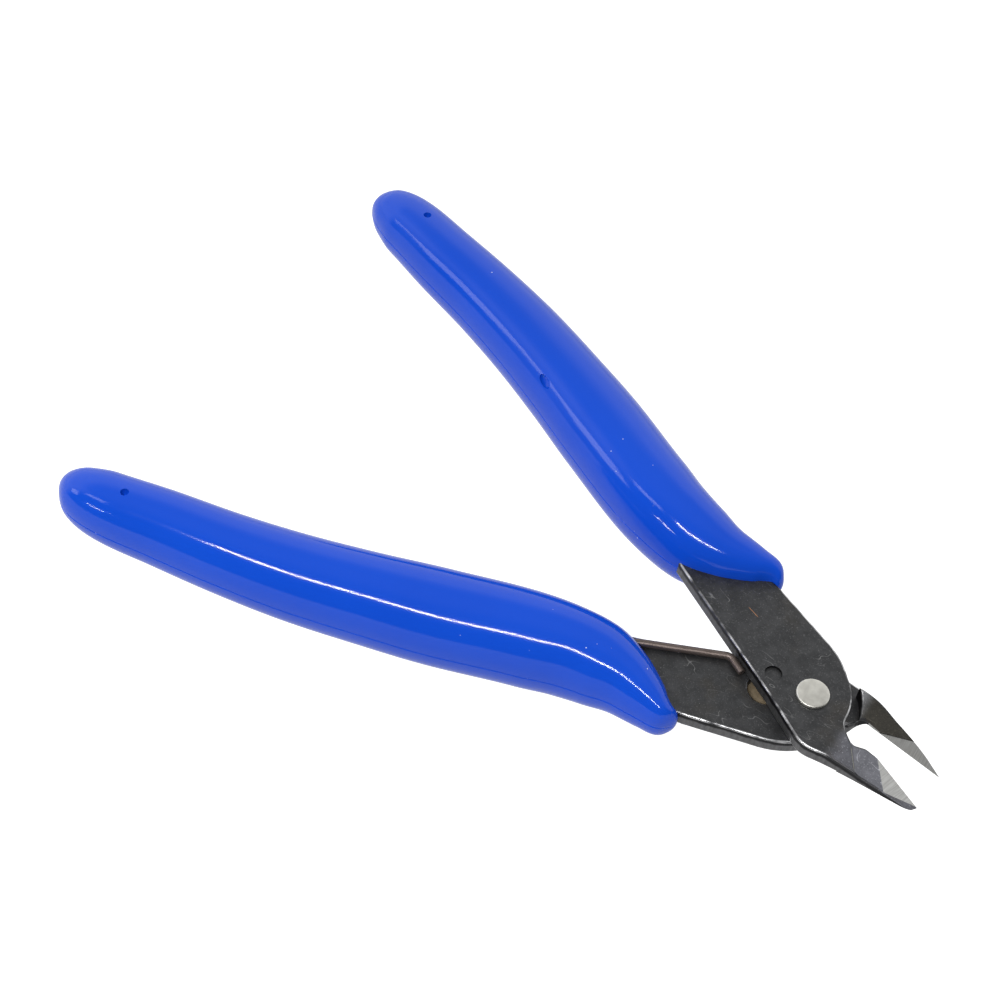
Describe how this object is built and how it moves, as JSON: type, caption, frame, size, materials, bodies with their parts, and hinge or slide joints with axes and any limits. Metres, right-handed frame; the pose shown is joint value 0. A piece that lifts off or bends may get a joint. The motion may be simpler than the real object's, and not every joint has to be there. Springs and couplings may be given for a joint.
{
  "type": "flush cutter",
  "caption": "Hand-held flush cutter with angled jaws, riveted stamped halves, a bent wire return spring and dipped handle grips.",
  "frame": {"origin": "the middle of the box round the fully open tool, midway between the two blade plates; the pivot axis crosses the X axis 0.0422 m in front of it", "axes": "+X towards the jaws along the bisector of the open handles, +Y towards the handle of the front half, +Z along the pivot out through the rivet's head"},
  "size_m": [0.1244, 0.0808, 0.0164],
  "materials": {
    "black_steel": "black oxide, worn bright along the edges, jaws ground bright at the bevels",
    "rivet_steel": "plain turned steel",
    "spring_wire": "tempered brown wire",
    "blue_vinyl": "glossy dipped vinyl"
  },
  "bodies": {
    "rear_half": {"rear_blade": "black_steel", "lower_grip": "blue_vinyl", "pivot_rivet": "rivet_steel"},
    "front_half": {"front_blade": "black_steel", "upper_grip": "blue_vinyl"},
    "spring_wire": {"return_spring": "spring_wire"}
  },
  "joints": [
    {"name": "pivot", "type": "hinge", "parent": "rear_half", "child": "front_half", "pos_m": [0.04217, 0, 0], "axis": [0, 0, 1], "range_deg": [0, 17]},
    {"name": "spring_flex", "type": "hinge", "parent": "rear_half", "child": "spring_wire", "pos_m": [0.01617, -0.00825, 0], "axis": [0, 0, 1], "range_deg": [-18, 0]}
  ],
  "couplings": [
    {"joint": "spring_flex", "follows": "pivot", "ratio": -1.03}
  ]
}
